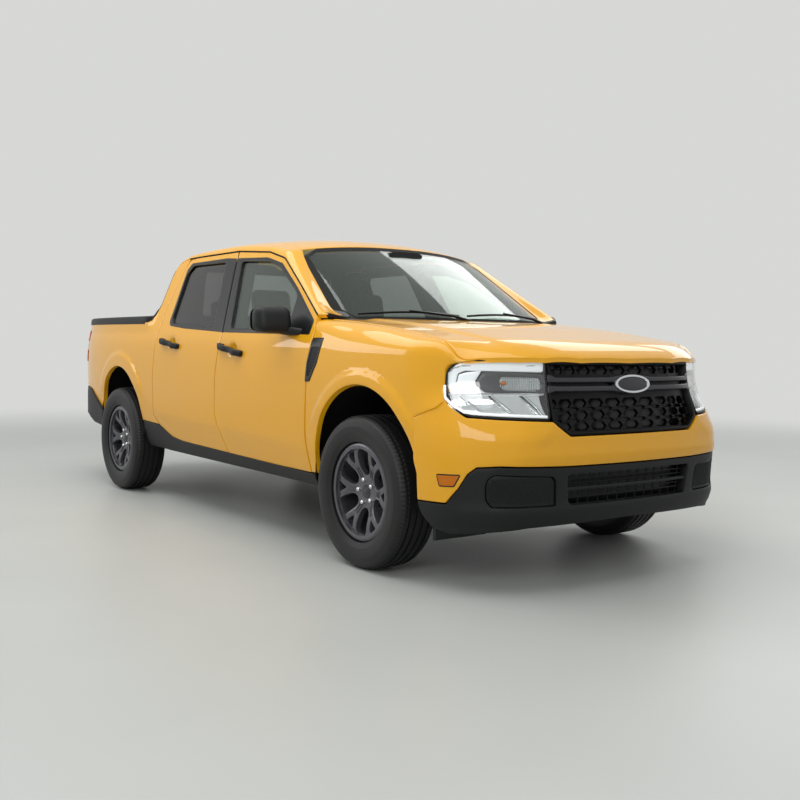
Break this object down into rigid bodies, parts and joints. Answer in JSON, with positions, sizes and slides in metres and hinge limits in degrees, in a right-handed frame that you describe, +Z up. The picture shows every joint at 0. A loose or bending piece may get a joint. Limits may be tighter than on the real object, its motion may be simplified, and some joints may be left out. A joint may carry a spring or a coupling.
{
  "type": "pickup truck",
  "caption": "Compact crew-cab pickup with an open load bed, opening doors, bonnet and tailgate, steered front wheels and free-rolling wheels.",
  "frame": {"origin": "on the ground under the middle of the truck", "axes": "+X to the nose, +Y to the driver's left, +Z up"},
  "size_m": [5.0764, 2.12, 1.7449],
  "materials": {
    "body_paint": "gloss solid yellow-orange enamel under clear coat",
    "underbody": "satin dark underbody coating",
    "chassis_steel": "dull pressed and cast steel",
    "exhaust_steel": "dull stainless tube and coated tank",
    "clear_glass": "lightly tinted glazing",
    "dark_glass": "dark privacy glazing",
    "lamp_lens": "clear lamp with bright reflectors",
    "red_lens": "red lamp lens",
    "black_moulding": "grained black moulding",
    "cabin_plastic": "grained dark cabin moulding",
    "seat_cloth": "grey woven seat cloth",
    "engine_casting": "cast block",
    "wheel_paint": "satin dark grey wheel enamel",
    "tyre_rubber": "black tyre rubber"
  },
  "bodies": {
    "shell": {"bed_rail_caps": "black_moulding", "bed_tub": "black_moulding", "body_side_left": "body_paint", "body_side_right": "body_paint", "cab_back": "body_paint", "dashboard": "cabin_plastic", "engine": "engine_casting", "front_bumper": "body_paint", "front_suspension": "chassis_steel", "front_valance": "black_moulding", "front_wing_left": "body_paint", "front_wing_right": "body_paint", "grille": "black_moulding", "headlamps": "lamp_lens", "platform": "underbody", "rear_axle": "chassis_steel", "rear_bumper": "black_moulding", "roof": "body_paint", "screens": "clear_glass", "seats": "seat_cloth", "tail_lamps": "red_lens", "tank_and_exhaust": "exhaust_steel"},
    "hood": {"hood": "body_paint"},
    "tailgate": {"tailgate": "body_paint"},
    "door_front_left": {"door_front_left": "body_paint", "glass_front_left": "clear_glass", "mirror_left": "black_moulding"},
    "door_front_right": {"door_front_right": "body_paint", "glass_front_right": "clear_glass", "mirror_right": "black_moulding"},
    "door_rear_left": {"door_rear_left": "body_paint", "glass_rear_left": "dark_glass"},
    "door_rear_right": {"door_rear_right": "body_paint", "glass_rear_right": "dark_glass"},
    "steering_wheel": {"steering_wheel": "cabin_plastic"},
    "knuckle_left": {"knuckle_left": "chassis_steel"},
    "knuckle_right": {"knuckle_right": "chassis_steel"},
    "wheel_front_left": {"tyre_front_left": "tyre_rubber", "rim_front_left": "wheel_paint"},
    "wheel_front_right": {"tyre_front_right": "tyre_rubber", "rim_front_right": "wheel_paint"},
    "wheel_rear_left": {"tyre_rear_left": "tyre_rubber", "rim_rear_left": "wheel_paint"},
    "wheel_rear_right": {"tyre_rear_right": "tyre_rubber", "rim_rear_right": "wheel_paint"}
  },
  "joints": [
    {"name": "hood_lift", "type": "hinge", "parent": "shell", "child": "hood", "pos_m": [1.222, 0, 1.189], "axis": [0, -1, 0], "range_deg": [0, 48]},
    {"name": "tailgate_drop", "type": "hinge", "parent": "shell", "child": "tailgate", "pos_m": [-2.394, 0, 0.768], "axis": [0, -1, 0], "range_deg": [0, 90]},
    {"name": "door_front_left_swing", "type": "hinge", "parent": "shell", "child": "door_front_left", "pos_m": [1.199, 0.902, 0.8], "axis": [0, 0, -1], "range_deg": [0, 65]},
    {"name": "door_rear_left_swing", "type": "hinge", "parent": "shell", "child": "door_rear_left", "pos_m": [0.207, 0.9, 0.8], "axis": [0, 0, -1], "range_deg": [0, 68]},
    {"name": "door_front_right_swing", "type": "hinge", "parent": "shell", "child": "door_front_right", "pos_m": [1.199, -0.902, 0.8], "axis": [0, 0, 1], "range_deg": [0, 65]},
    {"name": "door_rear_right_swing", "type": "hinge", "parent": "shell", "child": "door_rear_right", "pos_m": [0.207, -0.9, 0.8], "axis": [0, 0, 1], "range_deg": [0, 68]},
    {"name": "steer_left", "type": "hinge", "parent": "shell", "child": "knuckle_left", "pos_m": [1.6365, 0.65, 0.362], "axis": [0, 0, 1], "range_deg": [-33, 33]},
    {"name": "wheel_front_left_spin", "type": "hinge", "parent": "knuckle_left", "child": "wheel_front_left", "pos_m": [1.6365, 0.795, 0.362], "axis": [0, 1, 0], "continuous": true},
    {"name": "wheel_rear_left_spin", "type": "hinge", "parent": "shell", "child": "wheel_rear_left", "pos_m": [-1.4395, 0.795, 0.362], "axis": [0, 1, 0], "continuous": true},
    {"name": "steer_right", "type": "hinge", "parent": "shell", "child": "knuckle_right", "pos_m": [1.6365, -0.65, 0.362], "axis": [0, 0, 1], "range_deg": [-33, 33]},
    {"name": "wheel_front_right_spin", "type": "hinge", "parent": "knuckle_right", "child": "wheel_front_right", "pos_m": [1.6365, -0.795, 0.362], "axis": [0, 1, 0], "continuous": true},
    {"name": "wheel_rear_right_spin", "type": "hinge", "parent": "shell", "child": "wheel_rear_right", "pos_m": [-1.4395, -0.795, 0.362], "axis": [0, 1, 0], "continuous": true},
    {"name": "steering_wheel_turn", "type": "hinge", "parent": "shell", "child": "steering_wheel", "pos_m": [0.6, 0.37, 1], "axis": [-0.9063, 0, 0.4226], "range_deg": [-495, 495]}
  ],
  "couplings": [
    {"joint": "steer_right", "follows": "steer_left", "ratio": 1},
    {"joint": "steering_wheel_turn", "follows": "steer_left", "ratio": 15}
  ]
}
